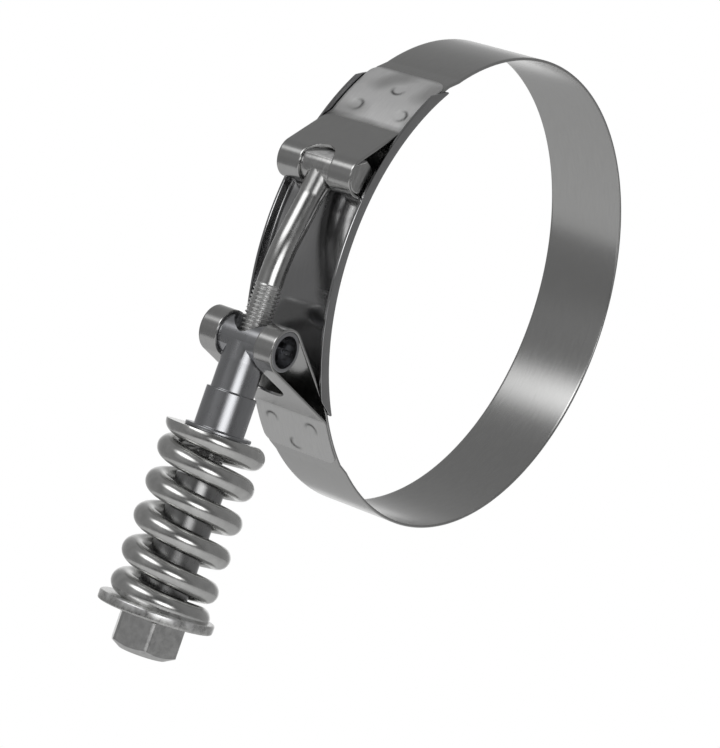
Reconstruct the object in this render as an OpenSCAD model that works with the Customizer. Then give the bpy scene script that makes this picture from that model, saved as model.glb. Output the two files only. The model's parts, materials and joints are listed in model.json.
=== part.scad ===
// Spring-loaded T-bolt hose clamp, shown fully open.
// The hose's axis is Y and passes through the origin. The bolt stands
// along Z beside the ring, with the nut at its lower end. Millimetres.

/* [Hose] */
// Hose diameter that the open clamp passes over
bore_d = 111.25; // [60:0.05:200]

/* [Band] */
// Width of the steel strip
band_w = 20.6; // [15:0.1:30]
// Thickness of the steel strip
band_t = 0.64; // [0.4:0.02:1]
// Angle at which the upper strap's end lies on the ring
strap_a_end = 135; // [120:0.5:145]
// Angle at which the upper strap bends away to its loop
strap_a_root = 151; // [146:0.5:158]
// Angle at which the lower strap bends away to its loop
strap_b_root = 223.5; // [218:0.5:228]
// Angle at which the lower strap's end lies on the ring
strap_b_end = 235; // [230:0.5:245]
// Angle at which the band leaves the ring for the lower loop
ring_b_end = 221; // [214:0.5:224]
// Rounding of the strap's corners
strap_corner_r = 2.6; // [0.5:0.1:5]
// Arc over which the band steps up on to the bridge
step_arc = 3.5; // [2:0.5:8]

/* [Loops] */
// Angle of the upper loop on the ring
loop_a_angle = 166.5; // [160:0.5:175]
// Inner radius of each bend between ring and loop
loop_bend_r = 3; // [1:0.5:10]
// Inner radius of the bend that starts the lower loop
loop_b_start_r = 12; // [3:0.5:30]
// Width of the slot in the upper loop
slot_a_w = 8.2; // [7:0.1:12]
// Width of the slot in the lower loop
slot_b_w = 10.8; // [10:0.1:14]
// Length of the lower slot along the outer leg, to its round end
slot_b_leg = 11; // [6:0.5:16]

/* [Bridge] */
// Thickness of the bridge plate
bridge_t = 0.6; // [0.4:0.05:1]
// Angle of the bridge's upper end
bridge_from = 136; // [125:0.5:145]
// Angle at which the bridge's lower flanges end
bridge_to = 221; // [215:0.5:232]
// Angle to which a narrower tongue runs on under the band
tongue_to = 231; // [226:0.5:240]
// Inset of the tongue from the band's edges
tongue_inset = 1.2; // [0.2:0.1:4]
// Height of the bridge's side flanges above its floor
flange_h = 2.4; // [1:0.1:4]
// Arc over which a flange runs out to a point
flange_taper = 5; // [1:0.5:10]
// Gap between a flange and the band's edge
flange_gap = 0.25; // [0.1:0.05:1]
// Gap between the bridge and the band that laps over it
lap_gap = 0.03; // [0.01:0.01:0.2]

/* [T-bolt] */
// Diameter of the cross bar
tbar_d = 7.8; // [6:0.1:10]
// Length of the cross bar
tbar_l = 20; // [14:0.1:28]
// Distance of the bar's flat from its axis
tbar_flat = 3.2; // [1:0.1:3.5]
// Direction in which the bar's flat faces
tbar_flat_angle = 118; // [76:1:140]
// Radial gap between the cross bar and its loop
tbar_gap = 0.05; // [0.02:0.01:0.1]
// Diameter of the plain shank
shank_d = 5.75; // [4:0.05:8]
// Diameter over the thread
thread_d = 6.35; // [4:0.05:8]
// Pitch of the thread
thread_pitch = 0.907; // [0.5:0.001:1.5]
// Distance of the straight bolt axis outside the cross bar's axis
bolt_x = 5.44; // [3.5:0.02:8]
// Angle through which the shank bends towards the ring
shank_bend = 14; // [5:0.5:20]
// Radius of that bend, at the shank's axis
shank_bend_r = 40; // [15:1:80]
// Length of the plain shank below the bend
plain_l = 1.5; // [0.5:0.5:6]
// Depth at which the bolt's end sits inside the open nut
bolt_recess = 1.6; // [0:0.1:3]
// Diameter of the swollen root at the cross bar
root_d = 7; // [5:0.1:8]
// Length over which the root narrows to the shank
root_l = 7.5; // [3:0.5:10]

/* [Trunnion] */
// Height of the trunnion's barrel, below the hose's axis
barrel_z = 26.7; // [20:0.1:40]
// Outer diameter of the barrel
barrel_d = 9.1; // [8:0.1:12]
// Length of the barrel
barrel_l = 20.4; // [14:0.1:28]
// Wall of the barrel
barrel_wall = 0.9; // [0.5:0.05:2]
// Radial gap between the barrel and its loop
barrel_gap = 0.05; // [0.02:0.01:0.1]
// Clear hole for the bolt, straight through
stem_bore = 8.2; // [7:0.1:10]
// Outer diameter of the stem
stem_d = 9.8; // [9:0.1:12]
// Length of the stem below the barrel's axis
stem_l = 12; // [8:0.5:25]
// Outer diameter of the collar
collar_d = 11.4; // [10:0.1:14]
// Length of the collar, with its lip
collar_l = 9.5; // [4:0.5:20]
// Outer diameter of the lip that bears on the spring
lip_d = 15; // [13:0.1:20]
// Thickness of that lip
lip_t = 0.8; // [0.5:0.1:2]

/* [Spring] */
// Diameter of the wire
wire_d = 5.2; // [3:0.1:7]
// Outer diameter of the spring
spring_d = 23.3; // [18:0.1:30]
// Rise of each active turn
spring_pitch = 7.8; // [6:0.1:12]
// Number of active turns
active_turns = 4; // [3:1:8]
// Share of the wire left at each ground tip
ground_share = 0.3; // [0.2:0.05:0.5]
// Direction of the upper tip, seen from above
tip_angle = 50; // [0:1:359]

/* [Washer and stop sleeve] */
// Outer diameter of the washer
washer_d = 26.2; // [22:0.1:34]
// Thickness of the washer
washer_t = 2.2; // [1:0.1:4]
// Edge break on the washer
washer_edge = 0.35; // [0.1:0.05:0.8]
// Outer diameter of the stop sleeve
sleeve_d = 11.4; // [9:0.1:12.5]
// Hole through the washer and the sleeve
sleeve_bore = 7; // [6.6:0.1:9]
// Whole turns of the nut from open to the stop
nut_turns = 11; // [4:1:12]
// Gap left between sleeve and trunnion at the stop
stop_gap = 0.2; // [0.05:0.05:1]

/* [Lock nut] */
// Width across the nut's flats
nut_af = 14.29; // [11:0.01:16]
// Height of the nut
nut_h = 8.6; // [5:0.1:12]
// Diameter of the nut's face at its free end, where the bevel is larger
nut_end_d = 10.6; // [9.5:0.1:13.5]
// Radial gap between the nut's bore and the thread
nut_gap = 0.05; // [0.02:0.01:0.1]
// Turn of the nut as it is shown
nut_turn = 41; // [0:1:60]

/* [Hidden] */
$fn = 96;
eps = 0.5;
// Lengths of strip or rod that follow each other overlap by this much, and
// every second one is smaller by this step all round, so no faces coincide
joint_lap = 0.2;
joint_step = 0.015;
// A rounded corner starts this far past its edges, so that it crosses them
corner_over = 0.06;

// Radii of the strip's centre line about the hose's axis
bore_r = bore_d / 2;
lap_r = bore_r + bridge_t + lap_gap;
lap_mid = lap_r + band_t / 2;
strap_r = lap_r + band_t;
strap_mid = strap_r + band_t / 2;
bend_mid = loop_bend_r + band_t / 2;
start_mid = loop_b_start_r + band_t / 2;

// The two loops: centre and centre-line radius. The bolt's axis lies axis_x
// from the hose's axis, through the lower loop.
loop_a_r = tbar_d / 2 + tbar_gap;
loop_a_mid = loop_a_r + band_t / 2;
loop_a = (lap_mid + loop_a_mid) * [cos(loop_a_angle), sin(loop_a_angle)];
loop_b_r = barrel_d / 2 + barrel_gap;
loop_b_mid = loop_b_r + band_t / 2;
axis_x = bolt_x - loop_a.x;
loop_b = [-axis_x, -barrel_z];

// Centres of the bends between the ring and the loops
bend_a = (strap_mid + bend_mid) * [cos(strap_a_root), sin(strap_a_root)];
bend_b = (strap_mid + bend_mid) * [cos(strap_b_root), sin(strap_b_root)];
start_b = (lap_mid + start_mid) * [cos(ring_b_end), sin(ring_b_end)];

// Directions of the straight legs, each tangent to the circles it joins
leg_a = tangent_angle(loop_a, -loop_a_mid, bend_a, bend_mid);
leg_b_in = tangent_angle(start_b, start_mid, loop_b, loop_b_mid);
leg_b_out = tangent_angle(loop_b, loop_b_mid, bend_b, -bend_mid);
leg_a_from = tangent_point(loop_a, -loop_a_mid, leg_a);
leg_a_to = tangent_point(bend_a, bend_mid, leg_a);
leg_b_in_from = tangent_point(start_b, start_mid, leg_b_in);
leg_b_in_to = tangent_point(loop_b, loop_b_mid, leg_b_in);
leg_b_out_from = tangent_point(loop_b, loop_b_mid, leg_b_out);
leg_b_out_to = tangent_point(bend_b, -bend_mid, leg_b_out);

// Where the band steps from the ring on to the bridge
step_a = bridge_from - 1.5;
step_b = max(tongue_to, strap_b_end) + 1;

// The bolt's course: a straight tilted shank, a bend, then the straight axis
shank_angle = 270 - shank_bend;
shank_l = (bolt_x - shank_bend_r * (1 - cos(shank_bend))) / sin(shank_bend);
bend_top = loop_a.y - shank_l * cos(shank_bend);
bend_low = bend_top - shank_bend_r * sin(shank_bend);
thread_top = bend_low - plain_l;

// Heights down the bolt's axis
collar_z = loop_b.y - stem_l;
spring_top = collar_z - collar_l;
spring_l = 2 * ground_share * wire_d + wire_d + active_turns * spring_pitch;
spring_low = spring_top - spring_l;
washer_low = spring_low - washer_t;
nut_low = washer_low - nut_h;
bolt_low = nut_low + bolt_recess;
nut_travel = nut_turns * thread_pitch;
sleeve_l = spring_l - nut_travel - stop_gap;

// Direction of the line that runs from one circle to another. A radius is
// positive where the strip turns left round the circle, negative to the right.
function tangent_angle(c1, r1, c2, r2) =
    let (d = c2 - c1)
    atan2(d.y, d.x) - asin((r2 - r1) / norm(d));

// Point at which a line in direction a touches a circle
function tangent_point(c, r, a) = c + r * [sin(a), -cos(a)];

// Angle brought into the turn that starts at a0
function after(a, a0) = a - 360 * floor((a - a0) / 360);

// Part of a ring about a point of the XZ plane, as wide as w along Y
module arc_strip(c, r_in, t, a0, a1, w) {
    translate([c.x, 0, c.y])
        rotate([90, 0, 0])
            rotate([0, 0, a0])
                rotate_extrude(angle = after(a1, a0) - a0, $fn = 180)
                    translate([r_in, -w / 2])
                        square([t, w]);
}

// Bend of the strip about a point, let into the lengths at its two ends
module bend_strip(c, r_in, a0, a1) {
    lap = joint_lap / r_in * 180 / PI;
    t = band_t - 2 * joint_step;
    arc_strip(c, r_in + joint_step, t, a0 - lap, after(a1, a0) + lap, band_w - 4 * joint_step);
}

// Straight piece of strip about the line from p to q
module straight_strip(p, q, t, w) {
    d = q - p;
    translate([p.x, 0, p.y])
        rotate([0, -atan2(d.y, d.x), 0])
            translate([0, -w / 2, -t / 2])
                cube([norm(d), w, t]);
}

// Slanted piece that joins the ring to the raised band over the bridge
module step_strip(a_ring, a_lap) {
    lap = sign(a_lap - a_ring) * joint_lap / bore_r * 180 / PI;
    ring_dir = [cos(a_ring - lap), sin(a_ring - lap)];
    lap_dir = [cos(a_lap + lap), sin(a_lap + lap)];
    rotate([90, 0, 0])
        linear_extrude(band_w - 4 * joint_step, center = true)
            polygon([
                (bore_r + joint_step) * ring_dir,
                (bore_r + band_t - joint_step) * ring_dir,
                (lap_r + band_t - joint_step) * lap_dir,
                (lap_r + joint_step) * lap_dir
            ]);
}

// Strap that lies on the band, with its two free corners rounded
module strap(a_root, a_end) {
    into = sign(a_root - a_end);
    inset = strap_corner_r - corner_over;
    difference() {
        arc_strip(
            [0, 0],
            lap_mid,
            strap_r + band_t - lap_mid,
            min(a_root, a_end),
            max(a_root, a_end),
            band_w - 2 * joint_step
        );
        for (side = [-1, 1])
            rotate([0, -a_end, 0])
                translate([strap_r, side * (band_w / 2 - inset), into * inset])
                    corner_cut(side, -into);
    }
}

// What is taken off a corner of the strap, about the rounding's centre
module corner_cut(side_y, side_z) {
    size = strap_corner_r + eps;
    difference() {
        translate([-1, side_y < 0 ? -size : 0, side_z < 0 ? -size : 0])
            cube([3, size, size]);
        translate([-2, 0, 0])
            rotate([0, 90, 0])
                cylinder(r = strap_corner_r, h = 5);
    }
}

// Round hole through one side of a loop, in the direction a from its centre
module loop_hole(c, d, a, reach) {
    translate([c.x, 0, c.y])
        rotate([0, 90 - a, 0])
            cylinder(d = d, h = reach);
}

// Slot of the upper loop: the shank swings in it and the bar's flat shows
module slot_a() {
    reach = loop_a_r + band_t + eps;
    arc_strip(loop_a, loop_a_r - eps, band_t + 2 * eps, 168, shank_angle, slot_a_w);
    loop_hole(loop_a, slot_a_w, 168, reach);
    loop_hole(loop_a, slot_a_w, shank_angle, reach);
}

// Slot of the lower loop: the bolt goes in at the top and the stem comes out
module slot_b() {
    reach = loop_b_r + band_t + eps;
    along = [cos(leg_b_out), sin(leg_b_out)];
    slot_end = leg_b_out_from + slot_b_leg * along;
    arc_strip(loop_b, loop_b_r - eps, band_t + 2 * eps, 90, leg_b_out - 90, slot_b_w);
    loop_hole(loop_b, slot_b_w, 90, reach);
    straight_strip(leg_b_out_from - eps * along, slot_end, band_t + 3 * eps, slot_b_w - 2 * joint_step);
    translate([slot_end.x, 0, slot_end.y])
        rotate([0, -leg_b_out, 0])
            cylinder(d = slot_b_w, h = band_t + 2 * eps, center = true);
}

// Strip steel, rolled to a ring, each end folded back to a loop and welded
module band() {
    color("silver")
    difference() {
        union() {
            arc_strip([0, 0], bore_r, band_t, step_b + step_arc, step_a - step_arc, band_w);
            step_strip(step_a - step_arc, step_a);
            step_strip(step_b + step_arc, step_b);
            arc_strip([0, 0], lap_r, band_t, step_a, loop_a_angle, band_w);
            arc_strip([0, 0], lap_r, band_t, ring_b_end, step_b, band_w);
            bend_strip(loop_a, loop_a_r, leg_a + 90, loop_a_angle + 180);
            straight_strip(leg_a_from, leg_a_to, band_t, band_w);
            bend_strip(bend_a, loop_bend_r, leg_a - 90, strap_a_root + 180);
            strap(strap_a_root, strap_a_end);
            bend_strip(start_b, loop_b_start_r, ring_b_end - 180, leg_b_in - 90);
            straight_strip(leg_b_in_from, leg_b_in_to, band_t, band_w);
            bend_strip(loop_b, loop_b_r, leg_b_in - 90, leg_b_out - 90);
            straight_strip(leg_b_out_from, leg_b_out_to, band_t, band_w);
            bend_strip(bend_b, loop_bend_r, strap_b_root - 180, leg_b_out + 90);
            strap(strap_b_root, strap_b_end);
        }
        slot_a();
        slot_b();
    }
}

// Channel of sheet that carries the hose across the gap in the band, with a
// tongue that slides under the lower loop
module bridge() {
    inner_half = band_w / 2 + flange_gap;
    outer_half = inner_half + bridge_t;
    top_r = bore_r + bridge_t + flange_h;
    lap = joint_lap / bore_r * 180 / PI;
    tongue_w = band_w - 2 * tongue_inset;
    tongue_t = bridge_t - 2 * joint_step;
    color("dimgray")
    union() {
        difference() {
            rotate([90, 0, 0])
                rotate([0, 0, bridge_from])
                    rotate_extrude(angle = bridge_to - bridge_from, $fn = 180)
                        polygon([
                            [bore_r, -outer_half],
                            [top_r, -outer_half],
                            [top_r, -inner_half],
                            [bore_r + bridge_t, -inner_half],
                            [bore_r + bridge_t, inner_half],
                            [top_r, inner_half],
                            [top_r, outer_half],
                            [bore_r, outer_half]
                        ]);
            flange_runout(bridge_from, 1);
            flange_runout(bridge_to, -1);
        }
        arc_strip([0, 0], bore_r + joint_step, tongue_t, bridge_to - lap, tongue_to, tongue_w);
    }
}

// Wedge taken off both flanges at one end of the bridge
module flange_runout(a_end, into) {
    run = bore_r * flange_taper * PI / 180;
    rotate([0, -a_end, 0])
        rotate([90, 0, 0])
            linear_extrude(2 * band_w, center = true)
                polygon([
                    [bore_r + bridge_t, 0],
                    [bore_r + bridge_t + 2 * flange_h, 0],
                    [bore_r + bridge_t + 2 * flange_h, into * 2 * run]
                ]);
}

// Forged bolt: cross bar, plain shank bent towards the ring, thread below
module t_bolt() {
    lap = joint_lap / shank_bend_r * 180 / PI;
    color("lightgray")
    union() {
        translate([loop_a.x, 0, loop_a.y])
            tbar();
        translate([loop_a.x, 0, loop_a.y])
            rotate([0, 90 - shank_angle, 0])
                rotate_extrude()
                    polygon([
                        [0, 0],
                        [root_d / 2, 0],
                        [shank_d / 2, root_l],
                        [shank_d / 2, shank_l],
                        [0, shank_l]
                    ]);
        translate([shank_bend_r - axis_x, 0, bend_low])
            rotate([90, 0, 0])
                rotate([0, 0, 180 - shank_bend - lap])
                    rotate_extrude(angle = shank_bend + 2 * lap, $fn = 180)
                        translate([shank_bend_r, 0])
                            circle(d = shank_d - 2 * joint_step);
        translate([-axis_x, 0, 0])
            rotate_extrude()
                threaded_profile();
    }
}

// Cross bar of the T-bolt: round, with one flat and bevelled ends
module tbar() {
    bevel = 0.6;
    half = tbar_l / 2;
    r = tbar_d / 2;
    difference() {
        rotate([90, 0, 0])
            rotate_extrude()
                polygon([
                    [0, -half],
                    [r - bevel, -half],
                    [r, bevel - half],
                    [r, half - bevel],
                    [r - bevel, half],
                    [0, half]
                ]);
        rotate([0, -tbar_flat_angle, 0])
            translate([tbar_flat, -tbar_l, -tbar_d])
                cube([tbar_d, 2 * tbar_l, 2 * tbar_d]);
    }
}

// Half outline of the straight shank: plain at the top, then the thread at
// its outer diameter, bevelled at both ends
module threaded_profile() {
    plain_r = shank_d / 2;
    r = thread_d / 2;
    bevel = r - plain_r;
    polygon([
        [0, bend_low],
        [plain_r, bend_low],
        [plain_r, thread_top],
        [r, thread_top - bevel],
        [r, bolt_low + bevel],
        [plain_r, bolt_low],
        [0, bolt_low]
    ]);
}

// Tube trunnion: an open barrel across the band and a stem down to the spring
module trunnion() {
    color("gainsboro")
    translate([-axis_x, 0, loop_b.y])
        difference() {
            union() {
                rotate([90, 0, 0])
                    cylinder(d = barrel_d, h = barrel_l, center = true);
                rotate_extrude()
                    stem_profile();
            }
            rotate([90, 0, 0])
                cylinder(d = barrel_d - 2 * barrel_wall, h = barrel_l + 1, center = true);
            translate([0, 0, -stem_l - collar_l - 1])
                cylinder(d = stem_bore, h = stem_l + collar_l + barrel_d);
        }
}

// Half outline of the stem: its shoulder in the barrel, collar and lip
module stem_profile() {
    shoulder = 1.2;
    end = -stem_l - collar_l;
    polygon([
        [0, shoulder],
        [stem_d / 2 - shoulder, shoulder],
        [stem_d / 2, -shoulder],
        [stem_d / 2, -stem_l],
        [collar_d / 2, -stem_l],
        [collar_d / 2, end + lip_t],
        [lip_d / 2, end + lip_t],
        [lip_d / 2, end],
        [0, end]
    ]);
}

// Height of the spring's wire after t turns, counted down from the top tip
function wire_z(t) =
    t < 1 ? -t * wire_d :
    t < 1 + active_turns ? -wire_d - (t - 1) * spring_pitch :
    -wire_d - active_turns * spring_pitch - (t - 1 - active_turns) * wire_d;

// Round wire swept down a left-handed helix
module wire_coil(turns, steps, sides) {
    coil_r = (spring_d - wire_d) / 2;
    last = turns * steps;
    points = [
        for (i = [0 : last])
        for (k = [0 : sides - 1])
        let (t = i / steps)
        let (turn = tip_angle + 360 * t)
        let (r = coil_r + wire_d / 2 * cos(360 * k / sides))
        [r * cos(turn), r * sin(turn), wire_z(t) + wire_d / 2 * sin(360 * k / sides)]
    ];
    walls = [
        for (i = [0 : last - 1])
        for (k = [0 : sides - 1])
        let (a = i * sides + k)
        let (b = i * sides + (k + 1) % sides)
        [a, a + sides, b + sides, b]
    ];
    first_cap = [for (k = [0 : sides - 1]) k];
    last_cap = [for (k = [sides - 1 : -1 : 0]) last * sides + k];
    polyhedron(points, concat(walls, [first_cap, last_cap]), convexity = 20);
}

// Compression spring of round wire, ends closed and ground flat
module spring() {
    shift = (0.5 - ground_share) * wire_d;
    color("whitesmoke")
    translate([-axis_x, 0, spring_top])
        intersection() {
            translate([0, 0, shift])
                wire_coil(active_turns + 2, 28, 14);
            translate([0, 0, -spring_l])
                cylinder(d = spring_d + 2, h = spring_l);
        }
}

// Tube that stands on the washer and stops the nut before the spring is solid
module stop_sleeve() {
    color("gray")
    translate([-axis_x, 0, spring_low])
        difference() {
            cylinder(d = sleeve_d, h = sleeve_l);
            translate([0, 0, -1])
                cylinder(d = sleeve_bore, h = sleeve_l + 2);
        }
}

// Flat washer between the nut and the spring
module washer() {
    e = washer_edge;
    r = washer_d / 2;
    hole = sleeve_bore / 2;
    color("silver")
    translate([-axis_x, 0, washer_low])
        rotate_extrude()
            polygon([
                [hole, 0],
                [r - e, 0],
                [r, e],
                [r, washer_t - e],
                [r - e, washer_t],
                [hole, washer_t]
            ]);
}

// All-metal lock nut: a hexagon bevelled at both ends, more at the free one
module lock_nut() {
    corner_r = nut_af / 2 / cos(30);
    face_r = nut_af / 2 * 0.95;
    end_r = nut_end_d / 2;
    past_r = corner_r + eps;
    bore = thread_d + 2 * nut_gap;
    mouth = 0.8;
    color("lightgray")
    translate([-axis_x, 0, nut_low])
        rotate([0, 0, nut_turn])
            difference() {
                intersection() {
                    cylinder(r = corner_r, h = nut_h, $fn = 6);
                    rotate_extrude()
                        polygon([
                            [0, 0],
                            [end_r, 0],
                            [past_r, (past_r - end_r) * tan(30)],
                            [past_r, nut_h - (past_r - face_r) * tan(30)],
                            [face_r, nut_h],
                            [0, nut_h]
                        ]);
                }
                rotate_extrude()
                    polygon([
                        [0, -1],
                        [bore / 2 + mouth + 1, -1],
                        [bore / 2, mouth],
                        [bore / 2, nut_h + 1],
                        [0, nut_h + 1]
                    ]);
            }
}

band();
bridge();
t_bolt();
trunnion();
spring();
stop_sleeve();
washer();
lock_nut();
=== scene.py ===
import json
import math

import bmesh
import bpy
from mathutils import Matrix, Vector, noise


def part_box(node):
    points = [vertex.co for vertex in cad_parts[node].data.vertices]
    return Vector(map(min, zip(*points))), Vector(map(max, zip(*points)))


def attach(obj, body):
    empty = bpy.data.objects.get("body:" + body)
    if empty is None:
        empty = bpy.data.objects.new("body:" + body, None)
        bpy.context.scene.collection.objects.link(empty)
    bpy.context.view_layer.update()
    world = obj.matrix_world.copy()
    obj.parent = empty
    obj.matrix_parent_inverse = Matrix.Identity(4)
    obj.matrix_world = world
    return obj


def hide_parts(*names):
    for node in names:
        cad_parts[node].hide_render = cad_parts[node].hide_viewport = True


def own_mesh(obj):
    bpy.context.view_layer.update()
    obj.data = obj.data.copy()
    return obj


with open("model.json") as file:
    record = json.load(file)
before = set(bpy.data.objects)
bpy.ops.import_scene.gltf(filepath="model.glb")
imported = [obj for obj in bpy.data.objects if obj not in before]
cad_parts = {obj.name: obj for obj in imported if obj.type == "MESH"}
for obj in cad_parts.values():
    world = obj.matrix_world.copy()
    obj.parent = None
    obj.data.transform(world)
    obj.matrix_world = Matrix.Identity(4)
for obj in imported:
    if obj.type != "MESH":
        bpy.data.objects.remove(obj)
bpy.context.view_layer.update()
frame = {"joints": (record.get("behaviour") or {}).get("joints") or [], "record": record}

# Band: one strip of thin stainless steel, punched flat with two slots and
# rounded ends, then rolled to a ring. Each end is folded round to a loop, and
# its tail is spot-welded down on the outside of the strip.
mm = 0.001
joints = {joint["name"]: joint for joint in frame["joints"]}
bore_r = frame["record"]["mounts"][0]["dims"]["r_mm"] * mm
upper_pin = Vector(joints["t_bolt_pivot"]["pos_m"]).xz
lower_pin = Vector(joints["trunnion_pivot"]["pos_m"]).xz
strip_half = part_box("band")[1].y
strip_t = 0.64 * mm
sheet_t = 0.6 * mm
lap_gap = 0.03 * mm
ring_mid = bore_r + strip_t / 2
lap_mid = ring_mid + sheet_t + lap_gap
strap_mid = lap_mid + strip_t
upper_loop_r = upper_pin.length - lap_mid
lower_loop_r = 4.92 * mm
tail_bend_r = 3.32 * mm
start_bend_r = 12.32 * mm
tail_corner_r = 2.6 * mm

# Angles round the hose's axis, in degrees from +X towards +Z.
upper_tail = (135, 151)
lower_tail = (223.5, 235)
upper_loop_at = math.degrees(math.atan2(upper_pin.y, upper_pin.x)) % 360
lower_loop_at = 221
bridge_reach = (136, 221)
upper_step_at = bridge_reach[0] - 1.5
lower_step_at = lower_tail[1] + 1
step_arc = 3.5

# Slots: their ends are at angles round their own loop's pin.
upper_slot = (168, 256)
upper_slot_half = 4.1 * mm
lower_slot_top = 90
lower_slot_half = 5.4 * mm
lower_slot_run = 11 * mm


def polar(radius, degrees):
    """Point of the ring's plane at that radius and angle."""
    angle = math.radians(degrees)
    return Vector((radius * math.cos(angle), radius * math.sin(angle)))


def tangent_angle(c1, r1, c2, r2):
    """Direction of the line that leaves one circle and meets the other; r is positive on a left turn."""
    d = c2 - c1
    return math.degrees(math.atan2(d.y, d.x) - math.asin((r2 - r1) / d.length))


def touch(centre, radius, degrees):
    """Where a line in that direction touches the circle."""
    return centre + polar(radius, degrees - 90)


strip_line = []


def lay_strip(point, left, slot_half=0.0, tail_angle=None):
    """Adds a station to the strip's line: its point, the direction to its left, and the slot there."""
    travelled = 0.0
    if strip_line:
        step = (point - strip_line[-1]["point"]).length
        if step < 0.001 * mm:
            strip_line[-1]["slot"] = max(strip_line[-1]["slot"], slot_half)
            return
        travelled = strip_line[-1]["at"] + step
    station = {"point": point, "left": left, "slot": slot_half, "tail": tail_angle, "at": travelled}
    strip_line.append(station)


def lay_arc(centre, radius, start, end, step, slot=None, tail=False):
    """Lays the strip round part of a circle, in steps of some degrees."""
    count = max(2, math.ceil(abs(end - start) / step))
    turn = -1 if end > start else 1
    for i in range(count + 1):
        angle = start + (end - start) * i / count
        half = slot(angle) if slot else 0.0
        lay_strip(centre + polar(radius, angle), polar(turn, angle), half, angle if tail else None)


def lay_straight(start, end, step, slot):
    """Lays the strip along a straight leg; slot gives its half width at a distance along."""
    length = (end - start).length
    ahead = (end - start) / length
    left = Vector((-ahead.y, ahead.x))
    count = math.ceil(length / step)
    for i in range(count + 1):
        along = length * i / count
        lay_strip(start + ahead * along, left, slot(along))


def round_end(half, beyond):
    """Half width of a round-ended slot, some distance beyond its straight part."""
    return math.sqrt(max(0.0, half**2 - beyond**2))


def upper_slot_at(angle):
    """Half width of the slot round the upper loop."""
    beyond = max(upper_slot[0] - angle, angle - upper_slot[1], 0)
    if beyond > 90:
        return 0.0
    return round_end(upper_slot_half, upper_loop_r * math.sin(math.radians(beyond)))


def lower_slot_at(angle):
    """Half width of the slot round the lower loop."""
    beyond = max(lower_slot_top - angle, 0)
    return round_end(lower_slot_half, lower_loop_r * math.sin(math.radians(beyond)))


hose_axis = Vector((0, 0))
upper_bend = polar(strap_mid + tail_bend_r, upper_tail[1])
lower_bend = polar(strap_mid + tail_bend_r, lower_tail[0])
lower_start = polar(lap_mid + start_bend_r, lower_loop_at)
upper_leg = tangent_angle(upper_pin, -upper_loop_r, upper_bend, tail_bend_r)
inner_leg = tangent_angle(lower_start, start_bend_r, lower_pin, lower_loop_r)
outer_leg = tangent_angle(lower_pin, lower_loop_r, lower_bend, -tail_bend_r)
upper_leg_from = touch(upper_bend, tail_bend_r, upper_leg)
upper_leg_to = touch(upper_pin, -upper_loop_r, upper_leg)
inner_leg_from = touch(lower_start, start_bend_r, inner_leg)
inner_leg_to = touch(lower_pin, lower_loop_r, inner_leg)
outer_leg_from = touch(lower_pin, lower_loop_r, outer_leg)
outer_leg_to = touch(lower_bend, -tail_bend_r, outer_leg)
upper_leg_length = (upper_leg_to - upper_leg_from).length
inner_leg_length = (inner_leg_to - inner_leg_from).length


def upper_leg_slot(along):
    """Half width of the upper slot where it runs out on the straight leg."""
    left_over = upper_leg_length - along
    angle = math.radians(upper_slot[0] - upper_leg - 90)
    across = upper_loop_r * math.sin(angle) + left_over * math.cos(angle)
    return round_end(upper_slot_half, across)


def inner_leg_slot(along):
    """Half width of the lower slot where the bolt's hole runs out on the inner leg."""
    left_over = inner_leg_length - along
    across = inner_leg_to.x - lower_pin.x - left_over * math.cos(math.radians(inner_leg))
    return round_end(lower_slot_half, across)


def outer_leg_slot(along):
    """Half width of the lower slot on the outer leg, where it ends in a half circle."""
    return round_end(lower_slot_half, max(0, along - lower_slot_run))


tail_step = 0.35
bend_step = 3
start_step = 2
ring_step = 1
leg_step = 0.25 * mm
lay_arc(hose_axis, strap_mid, upper_tail[0], upper_tail[1], tail_step, tail=True)
lay_arc(upper_bend, tail_bend_r, upper_tail[1] + 180, upper_leg + 270, bend_step)
lay_straight(upper_leg_from, upper_leg_to, leg_step, upper_leg_slot)
lay_arc(upper_pin, upper_loop_r, upper_leg + 90, upper_loop_at + 180, bend_step, upper_slot_at)
lay_arc(hose_axis, lap_mid, upper_loop_at, upper_step_at, ring_step)
lay_arc(hose_axis, ring_mid, upper_step_at - step_arc, lower_step_at + step_arc - 360, ring_step)
lay_arc(hose_axis, lap_mid, lower_step_at - 360, lower_loop_at - 360, ring_step)
lay_arc(lower_start, start_bend_r, lower_loop_at - 180, inner_leg - 90, start_step)
lay_straight(inner_leg_from, inner_leg_to, leg_step, inner_leg_slot)
lay_arc(lower_pin, lower_loop_r, inner_leg - 90, outer_leg + 270, bend_step, lower_slot_at)
lay_straight(outer_leg_from, outer_leg_to, leg_step, outer_leg_slot)
lay_arc(lower_bend, tail_bend_r, outer_leg + 90, lower_tail[0] - 180, bend_step)
lay_arc(hose_axis, strap_mid, lower_tail[0], lower_tail[1], tail_step, tail=True)

# Weld spots: angle round the hose, place along its axis in mm, and the
# direction on the tail's surface in which the dark crescent lies: a burn
# mark, with painted shade of the dent on that side.
weld_spots = [
    (141, -1.2, 10),
    (148.2, 5.6, -110),
    (148.2, -6.8, -100),
    (232, 0.4, 60),
    (226.4, 6, 180),
    (226, -5.4, 200),
]
weld_r = 1.6 * mm
weld_depth = 0.07 * mm
dent_rim = 1.2
dent_floor = 0.75
burn_and_shade_at = 0.95
burn_and_shade_width = 0.2


def ease(value, start, end):
    """Goes smoothly from 0 at the start to 1 at the end."""
    share = min(1, max(0, (value - start) / (end - start)))
    return share * share * (3 - 2 * share)


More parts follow.
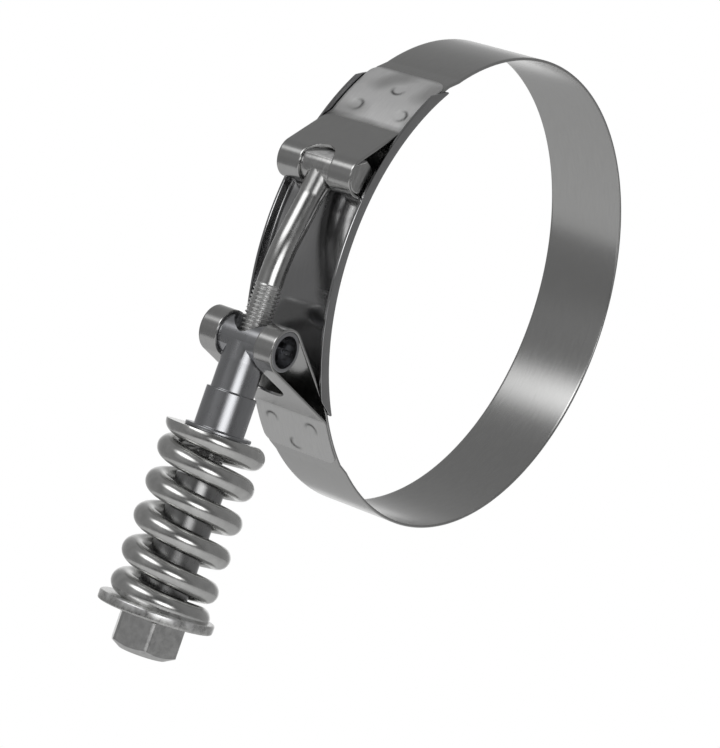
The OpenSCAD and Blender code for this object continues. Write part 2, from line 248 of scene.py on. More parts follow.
def weld_mark(angle, y):
    """How far the electrodes have pressed the tail in there, and how dark its crescent is: a burn mark,
    with painted shade of the dent on one side.
    """
    dent, burn = 0.0, 0.0
    for spot_angle, spot_y, burnt_side in weld_spots:
        from_spot = Vector((strap_mid * math.radians(angle - spot_angle), y - spot_y * mm)) / weld_r
        away = from_spot.length
        dent += weld_depth * ease(away, dent_rim, dent_floor)
        facing = from_spot.dot(polar(1, burnt_side)) / max(away, 0.01)
        burn += max(0, 0.3 + 0.7 * facing) * math.exp(-(((away - burn_and_shade_at) / burn_and_shade_width) ** 2))
    return dent, min(1, burn)


def make_piece(name, points, faces, sharp=35):
    """New mesh object, smooth-shaded up to the sharp angle."""
    mesh = bpy.data.meshes.new(name)
    mesh.from_pydata(points, [], faces)
    work = bmesh.new()
    work.from_mesh(mesh)
    bmesh.ops.remove_doubles(work, verts=work.verts, dist=0.0001 * mm)
    bmesh.ops.recalc_face_normals(work, faces=work.faces)
    work.to_mesh(mesh)
    work.free()
    mesh.shade_smooth()
    mesh.set_sharp_from_angle(angle=math.radians(sharp))
    piece = bpy.data.objects.new(name, mesh)
    bpy.context.scene.collection.objects.link(piece)
    return piece


# Rolled edges of the strip: how far in from the edge, and how much thinner
# the strip is there, as shares of the rounding.
edge_profile = [(0, 1), (0.3, 0.4), (1, 0)]
edge_round = 0.12 * mm
edge_drop = 0.8 * edge_round
strip_columns = 22


def strip_row(station, side):
    """Half the strip's cross-section at a station: left and right points from the middle to the edge."""
    to_end = min(station["at"], strip_line[-1]["at"] - station["at"])
    cut = max(0.0, tail_corner_r - to_end)
    edge = strip_half - tail_corner_r + math.sqrt(max(0.0, tail_corner_r**2 - cut**2))
    slot = station["slot"]
    first, last = slot + edge_round, edge - edge_round
    columns = [(slot + inset * edge_round, thin if slot > 0 else 0) for inset, thin in edge_profile]
    columns += [(first + (last - first) * i / strip_columns, 0) for i in range(1, strip_columns)]
    columns += [(edge - inset * edge_round, thin) for inset, thin in reversed(edge_profile)]
    row = []
    for y, thin in columns:
        half = strip_t / 2 - thin * edge_drop
        tail = station["tail"]
        dent = weld_mark(tail, side * y)[0] if tail is not None else 0.0
        for offset in (half, dent - half):
            p = station["point"] + station["left"] * offset
            row.append((p.x, side * y, p.y))
    return row


points, faces, row_starts = [], [], []
for station in strip_line:
    for side in (-1, 1):
        row_starts.append(len(points))
        points += strip_row(station, side)
row_length = len(points) // len(row_starts)
last = row_length - 2
for i in range(len(strip_line) - 1):
    slotted = strip_line[i]["slot"] > 0 or strip_line[i + 1]["slot"] > 0
    for side in (0, 1):
        a, b = row_starts[2 * i + side], row_starts[2 * i + 2 + side]
        for k in range(0, last, 2):
            faces.append((a + k, a + k + 2, b + k + 2, b + k))
            faces.append((a + k + 1, b + k + 1, b + k + 3, a + k + 3))
        faces.append((a + last, a + last + 1, b + last + 1, b + last))
        if slotted:
            faces.append((a, b, b + 1, a + 1))
for end in (0, len(strip_line) - 1):
    for side in (0, 1):
        a = row_starts[2 * end + side]
        for k in range(0, last, 2):
            faces.append((a + k, a + k + 1, a + k + 3, a + k + 2))
band = make_piece("rolled_band", points, faces)


def steel(name, colour, roughness, grain, uneven, relief, **marks):
    """Bare steel. The grain is the noise's scale along X, Y and Z per metre, uneven the share by which
    tone and polish vary with it, and relief its height. Each kind of mark that the piece has is given
    with the tone, roughness and metallic share that it has there."""
    material = bpy.data.materials.new(name)
    material.use_nodes = True
    nodes, links = material.node_tree.nodes, material.node_tree.links
    shader = nodes["Principled BSDF"]
    place = nodes.new("ShaderNodeTexCoord")
    stretch = nodes.new("ShaderNodeMapping")
    stretch.inputs["Scale"].default_value = grain
    links.new(place.outputs["Object"], stretch.inputs["Vector"])
    surface = nodes.new("ShaderNodeTexNoise")
    surface.inputs["Scale"].default_value = 1.0
    surface.inputs["Detail"].default_value = 3.0
    links.new(stretch.outputs["Vector"], surface.inputs["Vector"])

    def varied(value):
        """Value that varies with the grain."""
        spread = nodes.new("ShaderNodeMapRange")
        spread.inputs["From Min"].default_value = 0.3
        spread.inputs["From Max"].default_value = 0.7
        spread.inputs["To Min"].default_value = value * (1 - uneven)
        spread.inputs["To Max"].default_value = value * (1 + uneven)
        links.new(surface.outputs["Fac"], spread.inputs["Value"])
        return spread.outputs["Result"]

    def over(mark, below, marked):
        """Goes over from one value to another where the mark is."""
        blend = nodes.new("ShaderNodeMix")
        links.new(mark.outputs["Fac"], blend.inputs["Factor"])
        for side, value in (("A", below), ("B", marked)):
            if isinstance(value, float):
                blend.inputs[side].default_value = value
            else:
                links.new(value, blend.inputs[side])
        return blend.outputs["Result"]

    tones = [varied(value) for value in colour]
    polish = varied(roughness)
    metal = 1.0
    for kind, (mark_tone, mark_roughness, mark_metal) in marks.items():
        mark = nodes.new("ShaderNodeAttribute")
        mark.attribute_name = kind
        tones = [over(mark, tone, varied(mark_tone)) for tone in tones]
        polish = over(mark, polish, varied(mark_roughness))
        metal = over(mark, metal, mark_metal)
    tint = nodes.new("ShaderNodeCombineColor")
    for channel, tone in zip(("Red", "Green", "Blue"), tones):
        links.new(tone, tint.inputs[channel])
    links.new(tint.outputs["Color"], shader.inputs["Base Color"])
    links.new(polish, shader.inputs["Roughness"])
    if marks:
        links.new(metal, shader.inputs["Metallic"])
    else:
        shader.inputs["Metallic"].default_value = metal
    bump = nodes.new("ShaderNodeBump")
    bump.inputs["Distance"].default_value = relief
    links.new(surface.outputs["Fac"], bump.inputs["Height"])
    links.new(bump.outputs["Normal"], shader.inputs["Normal"])
    return material


def mark_piece(piece, kind, amount_at):
    """Stores how much of a mark the piece has at each of its points, from 0 to 1: wear and painted sheen,
    or burn and painted shade.
    """
    marks = piece.data.attributes.new(kind, "FLOAT", "POINT")
    for point, mark in zip(piece.data.vertices, marks.data):
        mark.value = amount_at(point.co)


cloud_scale = 160
dulled_bend = 2
dulled_end = 0.2
lower_dulling = 0.3


def ring_angle(point):
    """Angle of a point round the hose's axis."""
    return math.degrees(math.atan2(point.z, point.x)) % 360


def inside_tails(point):
    """How many degrees a point on the tails' outside lies inside the upper and the lower one's ends."""
    if not strap_mid < math.hypot(point.x, point.z) < strap_mid + 1.5 * strip_t:
        return 0, 0
    angle = ring_angle(point)
    upper = min(angle - upper_tail[0], upper_tail[1] + dulled_bend - angle) + dulled_end
    lower = min(angle - lower_tail[0] + dulled_bend, lower_tail[1] - angle)
    return upper, lower


def band_wear(point):
    """The tails are dulled in clouds by the welding, the upper one more."""
    upper, lower = inside_tails(point)
    cloud = min(1, max(0.5, 0.85 + 0.9 * noise.noise(point * cloud_scale)))
    return max(min(1, upper) * cloud, min(lower_dulling, lower), 0)


def band_burn_and_shade(point):
    """Dark crescents round the weld spots: burn marks, with painted shade of the dents on one side."""
    return weld_mark(ring_angle(point), point.y)[1] if max(inside_tails(point)) > 0 else 0


mark_piece(band, "worn", band_wear)
mark_piece(band, "burnt", band_burn_and_shade)
rolled_stainless = steel(
    "rolled_stainless",
    colour=(0.53, 0.53, 0.525),
    roughness=0.21,
    grain=(300, 4000, 300),
    uneven=0.04,
    relief=0.0008 * mm,
    worn=(0.9, 0.48, 0.7),
    # This dark tone paints both the burn and the shade of the weld dents.
    burnt=(0.07, 0.5, 0.8),
)
band.data.materials.append(rolled_stainless)
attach(band, "ring")
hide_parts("band")

# Bridge: a plate of thin bright stainless sheet with its two sides turned up,
# which carries the hose across the gap in the band. The upper end is welded
# under the band, and the lower end slides under the lower loop.
bridge_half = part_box("bridge")[1].y
flange_h = 2.4 * mm
flange_taper = 5
fold_r = 0.5 * mm
fold_steps = 4
sheet_edge = 0.08 * mm
bridge_steps = 120
tongue_end = 231
tongue_half = strip_half - 1.2 * mm
tongue_lap = 0.5
tongue_room = 0.02 * mm
tongue_steps = 16


def channel_row(angle):
    """Closed cross-section of the bridge at that angle, as points."""
    run = min(angle - bridge_reach[0], bridge_reach[1] - angle) / flange_taper
    height = flange_h * min(1, max(0.02, run))
    floor, top = bore_r + sheet_t, bore_r + sheet_t + height
    inside = bridge_half - sheet_t
    fold = min(fold_r, 0.9 * height)
    turns = [math.radians(90 * k / fold_steps) for k in range(fold_steps + 1)]
    outline = [
        (bore_r + fold_r * (1 - math.cos(turn)), bridge_half - fold_r * (1 - math.sin(turn)))
        for turn in turns
    ]
    outline += [(top - sheet_edge, bridge_half), (top, bridge_half - sheet_edge)]
    outline += [(top, inside + sheet_edge), (top - sheet_edge, inside)]
    outline += [
        (floor + fold * (1 - math.sin(turn)), inside - fold * (1 - math.cos(turn))) for turn in turns
    ]
    ring = []
    for radius, y in outline + [(r, -y) for r, y in reversed(outline)]:
        p = polar(radius, angle)
        ring.append((p.x, y, p.y))
    return ring


def tongue_row(angle):
    """Cross-section of the flat tongue at that angle."""
    low = polar(bore_r + tongue_room, angle)
    high = polar(bore_r + sheet_t - tongue_room, angle)
    return [
        (low.x, -tongue_half, low.y),
        (low.x, tongue_half, low.y),
        (high.x, tongue_half, high.y),
        (high.x, -tongue_half, high.y),
    ]


def skin(rings, closed_ends=True):
    """Points and faces of a tube that runs through equal rings of points."""
    count = len(rings[0])
    faces = []
    for i in range(len(rings) - 1):
        for k in range(count):
            a, b = i * count + k, i * count + (k + 1) % count
            faces.append((a, b, b + count, a + count))
    if closed_ends:
        faces.append(tuple(range(count)))
        faces.append(tuple((len(rings) - 1) * count + k for k in reversed(range(count))))
    return [p for ring in rings for p in ring], faces


def spaced(start, end, steps):
    """Values at equal steps from the start to the end."""
    return [start + (end - start) * i / steps for i in range(steps + 1)]


points, faces = skin([channel_row(angle) for angle in spaced(*bridge_reach, bridge_steps)])
tongue_angles = spaced(bridge_reach[1] - tongue_lap, tongue_end, tongue_steps)
tongue_points, tongue_faces = skin([tongue_row(angle) for angle in tongue_angles])
faces += [tuple(len(points) + k for k in face) for face in tongue_faces]
bridge = make_piece("bridge_plate", points + tongue_points, faces)
bright_sheet = steel(
    "bright_sheet",
    colour=(0.44, 0.44, 0.445),
    roughness=0.13,
    grain=(400, 3000, 400),
    uneven=0.04,
    relief=0.0008 * mm,
)
bridge.data.materials.append(bright_sheet)
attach(bridge, "ring")
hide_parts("bridge")

# T-bolt: one forging of bright steel. The cross bar with its flat lies in the
# upper loop; the plain shank is bent towards the ring, and the lower part has
# a rolled quarter-inch fine thread.
bolt_x = Vector(joints["nut_turn"]["pos_m"]).x
bolt_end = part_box("t_bolt")[0].z
bar_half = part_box("t_bolt")[1].y
bar_r = 3.9 * mm
bar_flat = 3.2 * mm
bar_flat_at = 118
bar_bevel = 0.6 * mm
bevel_steps = 6
shank_r = 2.875 * mm
root_r = 3.5 * mm
root_run = 7.5 * mm
shank_steps = 40
bend_radius = 40 * mm
bend_angle = 14
bend_steps = 24
thread_r = 3.175 * mm
thread_pitch = 0.907 * mm
thread_depth = 0.5 * mm
thread_top = -14.011 * mm
thread_run_out = 1.5 * thread_pitch
thread_bevel = 0.8 * thread_pitch
thread_rows = 12
bolt_sides = 48


def lathe(profile, turns=96):
    """Rings of points for a profile of (radius, height) turned about Z."""
    angles = [2 * math.pi * k / turns for k in range(turns)]
    return [[(r * math.cos(a), r * math.sin(a), z) for a in angles] for r, z in profile]


bar_profile = []
for k in range(bevel_steps + 1):
    turn = math.radians(90 * k / bevel_steps)
    bevel_in, bevel_up = bar_bevel * (1 - math.sin(turn)), bar_bevel * (1 - math.cos(turn))
    bar_profile.append((bar_r - bevel_in, bevel_up - bar_half))
bar_profile += [(r, -z) for r, z in reversed(bar_profile)]
bar_points, bar_faces = skin(lathe(bar_profile, 120))
flat_dir = polar(1, bar_flat_at)


def on_bar(point):
    """Point of the lathe turned along Y, with the flat pressed in, at the loop's centre."""
    x, z = point[0], point[1]
    over = x * flat_dir.x + z * flat_dir.y - bar_flat
    if over > 0:
        x, z = x - over * flat_dir.x, z - over * flat_dir.y
    return (upper_pin.x + x, point[2], upper_pin.y + z)


bar = make_piece("bolt_bar", [on_bar(p) for p in bar_points], bar_faces, 28)


def bolt_ring(centre, across, radius_at):
    """Ring of the bolt about a point of its axis; across lies in the ring's plane."""
    ring = []
    for k in range(bolt_sides):
        a = 2 * math.pi * k / bolt_sides
        r = radius_at(a)
        p = centre + across * (r * math.cos(a))
        ring.append((p.x, r * math.sin(a), p.y))
    return ring


def thread_radius(z, a):
    """Radius of the right-hand thread at a height and an angle about the bolt's axis."""
    phase = ((z / thread_pitch - a / (2 * math.pi)) % 1.0) * 2 - 1
    groove = ease(abs(phase), 0.1, 0.9)
    fade = min(1, (thread_top - z) / thread_run_out, (z - bolt_end) / thread_bevel)
    crest = shank_r + (thread_r - shank_r) * max(0, fade)
    return crest - thread_depth * groove * max(0, fade)


bend = math.radians(bend_angle)
shank_dir = polar(1, 270 - bend_angle)
shank_across = Vector((-shank_dir.y, shank_dir.x))
shank_length = (upper_pin.x - bolt_x - bend_radius * (1 - math.cos(bend))) / math.sin(bend)
bend_low = (upper_pin + shank_dir * shank_length).y - bend_radius * math.sin(bend)
bend_centre = Vector((bolt_x + bend_radius, bend_low))
bolt_rings = []
for i in range(shank_steps):
    along = shank_length * i / shank_steps
    radius = shank_r + (root_r - shank_r) * max(0, 1 - along / root_run)
    bolt_rings.append(bolt_ring(upper_pin + shank_dir * along, shank_across, lambda a: radius))
for i in range(bend_steps):
    out = polar(1, 180 - bend_angle * (1 - i / bend_steps))
    bolt_rings.append(bolt_ring(bend_centre + bend_radius * out, -out, lambda a: shank_r))
row_count = math.ceil((bend_low - bolt_end) / thread_pitch * thread_rows)
for z in spaced(bend_low, bolt_end, row_count):
    bolt_rings.append(bolt_ring(Vector((bolt_x, z)), Vector((1, 0)), lambda a: thread_radius(z, a)))
shank = make_piece("bolt_shank", *skin(bolt_rings), 40)


def cut_or_join(piece, other, operation):
    """Applies a boolean of another piece to this one and removes the other."""
    step = piece.modifiers.new("join", "BOOLEAN")
    step.operation = operation
    step.solver = "EXACT"
    step.object = other
    bpy.context.view_layer.update()
    result = bpy.data.meshes.new_from_object(piece.evaluated_get(bpy.context.evaluated_depsgraph_get()))
    piece.modifiers.clear()
    piece.data = result
    bpy.data.objects.remove(other)
    return piece


bolt = cut_or_join(bar, shank, "UNION")
bolt.name = "forged_t_bolt"
bolt.data.set_sharp_from_angle(angle=math.radians(32))
for edge in bolt.data.edges:
    heights = [bolt.data.vertices[v].co.z for v in edge.vertices]
    if bolt_end + thread_pitch / thread_rows < min(heights) and max(heights) < thread_top:
        edge.use_edge_sharp = False
bolt.data.materials.clear()
bar_centre = Vector((upper_pin.x, 0, upper_pin.y))
flat_out = Vector((flat_dir.x, 0, flat_dir.y))
thread_dulling = 0.2


def bolt_wear(point):
    """The flat is left dull by the forging, and the thread satin by the rolling."""
    if point.z < thread_top:
        return thread_dulling
    return float((point - bar_centre).dot(flat_out) > bar_flat - 0.03 * mm)


mark_piece(bolt, "worn", bolt_wear)
bright_forging = steel(
    "bright_forging",
    colour=(0.56, 0.56, 0.555),
    roughness=0.22,
    grain=(900, 900, 300),
    uneven=0.12,
    relief=0.025 * mm,
    worn=(0.95, 0.5, 0.3),
)
bolt.data.materials.append(bright_forging)
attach(bolt, "bolt")
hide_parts("t_bolt")

# Trunnion: a T-shaped piece of steel tube. Its open barrel sits in the lower
# loop, the bolt passes through it, and its collar and lip press on the spring.
barrel_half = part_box("trunnion")[1].y
stem_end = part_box("trunnion")[0].z - lower_pin.y
barrel_r = 4.55 * mm
barrel_bore = 3.65 * mm
stem_bore = 4.1 * mm
stem_r = 4.9 * mm
stem_shoulder = 1.2 * mm
stem_run = 12 * mm
neck_r = 4.5 * mm
neck_run = 5 * mm
collar_r = 5.7 * mm
lip_r = 7.5 * mm
lip_t = 0.8 * mm
soft_edge = 0.25 * mm
mouth_r = 4.4 * mm
mouth_stretch = 1.16
mouth_from = 0.2 * mm
mouth_full = 0.6 * mm
mouth_top = 8 * mm
core_r = 1 * mm
overcut = 1 * mm


def rounded(outline, radius, steps=4):
    """Open outline of (radius, height) points with its inner corners rounded."""
    result = [outline[0]]
    for before, corner, after in zip(outline, outline[1:], outline[2:]):
        c = Vector(corner)
        back, ahead = Vector(before) - c, Vector(after) - c
        reach = min(radius, 0.45 * back.length, 0.45 * ahead.length)
        p, q = c + back.normalized() * reach, c + ahead.normalized() * reach
        for k in range(steps + 1):
            t = k / steps
            result.append(tuple(p * (1 - t) ** 2 + c * (2 * t * (1 - t)) + q * t**2))
    result.append(outline[-1])
    return result


def turned(name, outline, turns=144):
    """Solid of revolution about the bolt's axis, closed by a flat at both ends; heights from the loop."""
    points, faces = skin(lathe([(r, lower_pin.y + z) for r, z in outline], turns))
    return make_piece(name, [(bolt_x + x, y, z) for x, y, z in points], faces)


def cross_tube(name, radius, half, edge, turns=144):
    """Closed cylinder along Y at the lower loop."""
    outline = rounded([(core_r, -half), (radius, -half), (radius, half), (core_r, half)], edge)
    points, faces = skin(lathe(outline, turns))
    return make_piece(name, [(lower_pin.x + x, z, lower_pin.y + y) for x, y, z in points], faces)


stem_outline = [
    (core_r, stem_shoulder),
    (stem_r - stem_shoulder, stem_shoulder),
    (neck_r, -0.7 * stem_shoulder),
    (stem_r, -neck_run),
    (stem_r, -stem_run),
    (collar_r, -stem_run),
    (collar_r, stem_end + lip_t),
    (lip_r, stem_end + lip_t),
    (lip_r, stem_end),
    (core_r, stem_end),
]
hole_outline = [
    (stem_bore, stem_end - overcut),
    (stem_bore, mouth_from),
    (mouth_r, mouth_full),
    (mouth_r, mouth_top),
]
barrel = cross_tube("barrel", barrel_r, barrel_half, soft_edge)
barrel_hole = cross_tube("barrel_hole", barrel_bore, barrel_half + overcut, 0.01 * mm)
bolt_hole = turned("bolt_hole", hole_outline)
for point in bolt_hole.data.vertices:
    if point.co.z > lower_pin.y + (mouth_from + mouth_full) / 2:
        point.co.y *= mouth_stretch
trunnion = turned("tube_trunnion", rounded(stem_outline, soft_edge))
cut_or_join(trunnion, barrel, "UNION")
cut_or_join(trunnion, barrel_hole, "DIFFERENCE")
cut_or_join(trunnion, bolt_hole, "DIFFERENCE")
trunnion.data.set_sharp_from_angle(angle=math.radians(48))
trunnion.data.materials.clear()
satin_tube = steel(
    "satin_tube",
    colour=(0.42, 0.425, 0.44),
    roughness=0.28,
    grain=(800, 800, 300),
    uneven=0.04,
    relief=0.004 * mm,
)
trunnion.data.materials.append(satin_tube)
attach(trunnion, "trunnion")
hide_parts("trunnion")

# Spring: bright round wire, coiled left-handed, with both ends closed and
# ground flat. It stands between the trunnion's lip and the washer.
spring_low, spring_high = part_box("spring")
wire_r = 2.6 * mm
coil_r = spring_high.y - wire_r
coil_pitch = 7.8 * mm
active_turns = 4
ground_share = 0.3
tip_angle = 50
coil_steps = 88
wire_sides = 36


def wire_height(turn):
    """Height of the wire after some turns, down from the upper tip's own height."""
    closed = 2 * wire_r * (min(turn, 1) + max(0, turn - 1 - active_turns))
    return -closed - coil_pitch * min(max(turn - 1, 0), active_turns)


coil_rings = []
for i in range((active_turns + 2) * coil_steps + 1):
    turn = i / coil_steps
    angle = math.radians(tip_angle + 360 * turn)
    height = spring_high.z + (1 - 2 * ground_share) * wire_r + wire_height(turn)
    ring = []
    for k in range(wire_sides):
        a = 2 * math.pi * k / wire_sides
        r = coil_r + wire_r * math.cos(a)
        ring.append((bolt_x + r * math.cos(angle), r * math.sin(angle), height + wire_r * math.sin(a)))
    coil_rings.append(ring)
spring = make_piece("coil_spring", *skin(coil_rings))


def grind(piece, height, upwards):
    """Grinds off what lies beyond a height and closes the flat."""
    work = bmesh.new()
    work.from_mesh(piece.data)
    bmesh.ops.bisect_plane(
        work,
        geom=work.verts[:] + work.edges[:] + work.faces[:],
        plane_co=(0, 0, height),
        plane_no=(0, 0, 1 if upwards else -1),
        clear_outer=True,
    )
    rim = [e for e in work.edges if e.is_boundary]
    bmesh.ops.holes_fill(work, edges=rim)
    bmesh.ops.recalc_face_normals(work, faces=work.faces)
    work.to_mesh(piece.data)
    work.free()


grind(spring, spring_high.z, True)
grind(spring, spring_low.z, False)
spring.data.shade_smooth()
spring.data.set_sharp_from_angle(angle=math.radians(35))
spring_wire = steel(
    "spring_wire",
    colour=(0.66, 0.66, 0.65),
    roughness=0.22,
    grain=(500, 500, 500),
    uneven=0.08,
    relief=0.012 * mm,
)
spring.data.materials.append(spring_wire)
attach(spring, "bolt")
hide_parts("spring")
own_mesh(spring)

# Stop sleeve: a length of plain steel tube round the bolt, inside the spring.
# It stands on the washer and stops the nut before the spring is solid.
sleeve_low, sleeve_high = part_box("stop_sleeve")
sleeve_r = sleeve_high.y
sleeve_bore = 3.5 * mm
sleeve_edge = 0.3 * mm


def turned_ring(name, bore, radius, low, high, edge, turns=96):
    """Plain ring about the bolt's axis between two heights, all edges eased."""
    middle = (bore, (low + high) / 2)
    corners = [(bore, low), (radius, low), (radius, high), (bore, high)]
    rings = lathe(rounded([middle, *corners, middle], edge)[:-1], turns)
    points, faces = skin([*rings, rings[0]], closed_ends=False)
    return make_piece(name, [(bolt_x + x, y, z) for x, y, z in points], faces)


sleeve = turned_ring("stop_tube", sleeve_bore, sleeve_r, sleeve_low.z, sleeve_high.z, sleeve_edge)
# Its tone is darker than the other steel parts: painted shade from the spring round it.
dark_tube_painted_shade = steel(
    "dark_tube_painted_shade",
    colour=(0.33, 0.33, 0.33),
    roughness=0.28,
    grain=(900, 900, 300),
    uneven=0.08,
    relief=0.006 * mm,
)
sleeve.data.materials.append(dark_tube_painted_shade)
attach(sleeve, "follower")
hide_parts("stop_sleeve")

# Washer: flat, stamped from zinc-coated steel, between the spring and the
# nut. Its edges are eased. Its upper half is lighter in patches: scuffs from
# the turning spring, and painted sheen on its upper side.
washer_low, washer_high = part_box("washer")
washer_r = washer_high.y
washer_bore = sleeve_bore
washer_edge = 0.5 * mm
patch_scale = 350
washer = turned_ring(
    "flat_washer", washer_bore, washer_r, washer_low.z, washer_high.z, washer_edge, turns=128
)


def washer_wear_and_sheen(point):
    """The upper half is lighter in patches: scuffs, and painted sheen on the upper side."""
    if point.z <= (washer_low.z + washer_high.z) / 2:
        return 0
    return min(1, max(0.2, 0.7 + 2 * noise.noise(point * patch_scale)))


mark_piece(washer, "worn", washer_wear_and_sheen)
zinc_scuffs_and_sheen = steel(
    "zinc_scuffs_and_sheen",
    colour=(0.62, 0.62, 0.61),
    roughness=0.28,
    grain=(900, 900, 900),
    uneven=0.2,
    relief=0.02 * mm,
    # On the washer this lighter tone is partly scuff wear and partly painted sheen on the upper side.
    worn=(0.95, 0.34, 0.85),
)
washer.data.materials.append(zinc_scuffs_and_sheen)
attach(washer, "follower")
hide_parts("washer")

# Lock nut: all-metal hexagon nut, zinc-coated, with a turned bevel at both
# ends of the hexagon. It runs on the bolt's thread and presses on the washer.
nut_low, nut_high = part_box("lock_nut")
nut_flat = 7.145 * mm
nut_corner = nut_flat / math.cos(math.radians(30))
nut_seat_r = 0.95 * nut_flat
nut_end_r = 5.3 * mm
nut_bevel = 30
nut_turn = 41
nut_bore = 3.225 * mm
nut_mouth = 0.8 * mm
nut_edge = 0.25 * mm
nut_sides = 240


def hexagon_radius(a):
    """Distance from the nut's axis to its side at an angle, corners eased."""
    turn = (math.degrees(a) - nut_turn) % 60
    straight = nut_flat / math.cos(math.radians(turn - 30))
    return min(straight, nut_corner - nut_edge)


def nut_ring(radius_at, height_at):
    """Ring of the nut's points."""
    ring = []
    for k in range(nut_sides):
        a = 2 * math.pi * k / nut_sides
        r = radius_at(a)
        ring.append((bolt_x + r * math.cos(a), r * math.sin(a), height_at(r)))
    return ring


def bevel_drop(r, face_r):
    """How far the turned bevel round an end face falls away at a radius."""
    return max(0, r - face_r) * math.tan(math.radians(nut_bevel))


nut_rings = [
    nut_ring(lambda a: nut_bore, lambda r: nut_high.z),
    nut_ring(lambda a: nut_seat_r, lambda r: nut_high.z),
    nut_ring(hexagon_radius, lambda r: nut_high.z - bevel_drop(r, nut_seat_r)),
    nut_ring(hexagon_radius, lambda r: nut_low.z + bevel_drop(r, nut_end_r)),
    nut_ring(lambda a: nut_end_r, lambda r: nut_low.z),
    nut_ring(lambda a: nut_bore + nut_mouth, lambda r: nut_low.z),
    nut_ring(lambda a: nut_bore, lambda r: nut_low.z + nut_mouth),
]
nut = make_piece("hexagon_lock_nut", *skin([*nut_rings, nut_rings[0]], closed_ends=False), 20)
satin_zinc = steel(
    "satin_zinc",
    colour=(0.64, 0.64, 0.635),
    roughness=0.24,
    grain=(700, 700, 700),
    uneven=0.12,
    relief=0.015 * mm,
)
nut.data.materials.append(satin_zinc)
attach(nut, "nut")
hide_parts("lock_nut")

# Camera: a long lens at the photograph's distance and side, turned about its
# own axis so that the bolt leans as it does there.
camera_azimuth = -145.92
camera_elevation = -1.69
camera_distance = 700 * mm
camera_target = Vector((-6.74, 10.28, -26.3)) * mm
camera_roll = 19.14
camera_lens = 143.97


def towards(azimuth, elevation):
    """Direction by degrees round Z from +X, and above the horizon."""
    around, above = math.radians(azimuth), math.radians(elevation)
    return Vector((math.cos(above) * math.cos(around), math.cos(above) * math.sin(around), math.sin(above)))


camera = bpy.data.objects.new("camera", bpy.data.cameras.new("camera"))
bpy.context.scene.collection.objects.link(camera)
camera.location = camera_distance * towards(camera_azimuth, camera_elevation)
look = (camera_target - camera.location).to_track_quat("-Z", "Y").to_matrix()
camera.rotation_euler = (look @ Matrix.Rotation(math.radians(camera_roll), 3, "Z")).to_euler()
camera.data.lens = camera_lens
camera.data.sensor_width = 36
camera.data.clip_start = 10 * mm
camera.data.clip_end = 20
bpy.context.scene.camera = camera

# Stage: a pale light table well below the held clamp and more to its right, a
# room that is white behind the clamp and dark round the camera, three softboxes.
table_r = 1.3
table_right = 0.8
table_below = 0.4
table_sides = 96
table_centre = table_right * towards(camera_azimuth + 90, 0) - Vector((0, 0, table_below))
table_rim = [table_centre + table_r * towards(360 * k / table_sides, 0) for k in range(table_sides)]
table = make_piece("light_table", table_rim, [tuple(range(table_sides))])
acrylic = bpy.data.materials.new("lit_acrylic")
acrylic.use_nodes = True
acrylic_inputs = acrylic.node_tree.nodes["Principled BSDF"].inputs
acrylic_inputs["Base Color"].default_value = (0.8, 0.8, 0.8, 1)
acrylic_inputs["Roughness"].default_value = 0.9
acrylic_inputs["Emission Color"].default_value = (1, 1, 1, 1)
acrylic_inputs["Emission Strength"].default_value = 0.22
table.data.materials.append(acrylic)

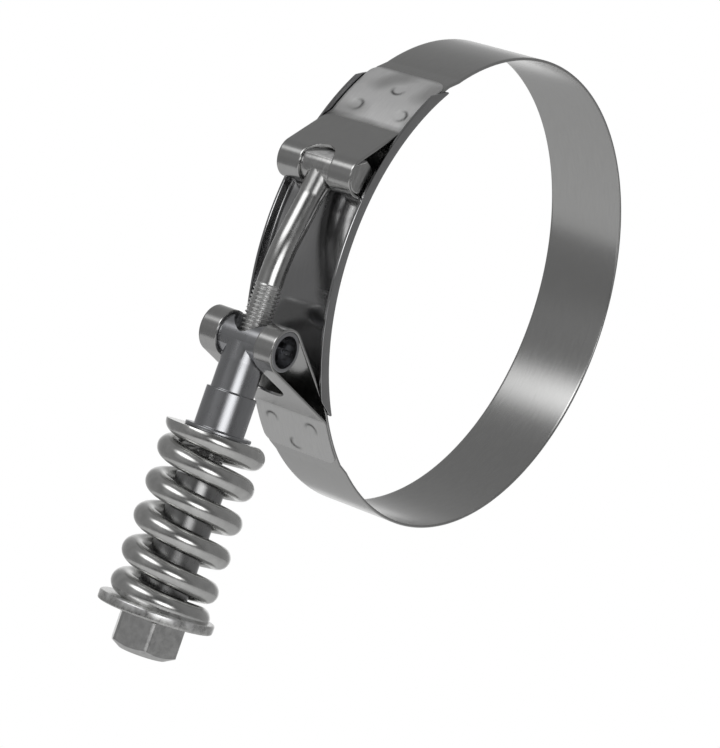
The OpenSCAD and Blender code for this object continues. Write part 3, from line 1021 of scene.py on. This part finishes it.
# Brightness of the room, from behind the camera at 0 to behind the clamp at 1.
room_tones = {0.1: 0.07, 0.3: 0.21, 0.7: 0.24, 0.88: 0.28, 0.955: 0.42, 0.982: 0.9, 0.988: 1.0}
room_stops = list(room_tones)
world = bpy.data.worlds.new("studio")
bpy.context.scene.world = world
world.use_nodes = True
sky, sky_links = world.node_tree.nodes, world.node_tree.links
direction = sky.new("ShaderNodeTexCoord")
facing = sky.new("ShaderNodeVectorMath")
facing.operation = "DOT_PRODUCT"
facing.inputs[1].default_value = (camera_target - camera.location).normalized()
sky_links.new(direction.outputs["Generated"], facing.inputs[0])
turned_away = sky.new("ShaderNodeMapRange")
turned_away.inputs["From Min"].default_value = -1.0
sky_links.new(facing.outputs["Value"], turned_away.inputs["Value"])
spread = sky.new("ShaderNodeValToRGB")
ramp = spread.color_ramp.elements
ramp[0].position, ramp[1].position = room_stops[0], room_stops[-1]
for position in room_stops[1:-1]:
    ramp.new(position)
for stop, tone in zip(ramp, room_tones.values()):
    stop.color = (tone, tone, tone, 1)
sky_links.new(turned_away.outputs["Result"], spread.inputs["Fac"])
sky_links.new(spread.outputs["Color"], sky["Background"].inputs["Color"])


def softbox(name, side, up, width, height, glow):
    """Rectangular lamp a metre from the clamp, placed by degrees to the camera's right and above it.
    Its cloth glows most in the middle."""
    lamp = bpy.data.lights.new(name, "AREA")
    lamp.shape = "RECTANGLE"
    lamp.size, lamp.size_y = width, height
    lamp.energy = glow * math.pi * width * height
    lamp.use_nodes = True
    cloth, seams = lamp.node_tree.nodes, lamp.node_tree.links
    on_cloth = cloth.new("ShaderNodeNewGeometry")
    from_middle = cloth.new("ShaderNodeVectorMath")
    from_middle.operation = "DISTANCE"
    from_middle.inputs[1].default_value = (0.5, 0.5, 0)
    seams.new(on_cloth.outputs["Parametric"], from_middle.inputs[0])
    fall_off = cloth.new("ShaderNodeMapRange")
    fall_off.interpolation_type = "SMOOTHSTEP"
    fall_off.inputs["From Min"].default_value = 0.6
    fall_off.inputs["From Max"].default_value = 0.15
    fall_off.inputs["To Max"].default_value = 1.9
    seams.new(from_middle.outputs["Value"], fall_off.inputs["Value"])
    seams.new(fall_off.outputs["Result"], cloth["Emission"].inputs["Strength"])
    box = bpy.data.objects.new(name, lamp)
    bpy.context.scene.collection.objects.link(box)
    offset = towards(camera_azimuth + side, up)
    box.location = camera_target + offset
    box.rotation_euler = (-offset).to_track_quat("-Z", "Y").to_euler()


softbox("left_box", side=-48, up=33, width=1.0, height=0.55, glow=1.3)
softbox("fill_box", side=-42, up=0, width=1.1, height=0.8, glow=0.09)
softbox("front_box", side=13, up=5, width=0.85, height=0.44, glow=1.6)

bpy.context.scene.view_settings.view_transform = "Standard"
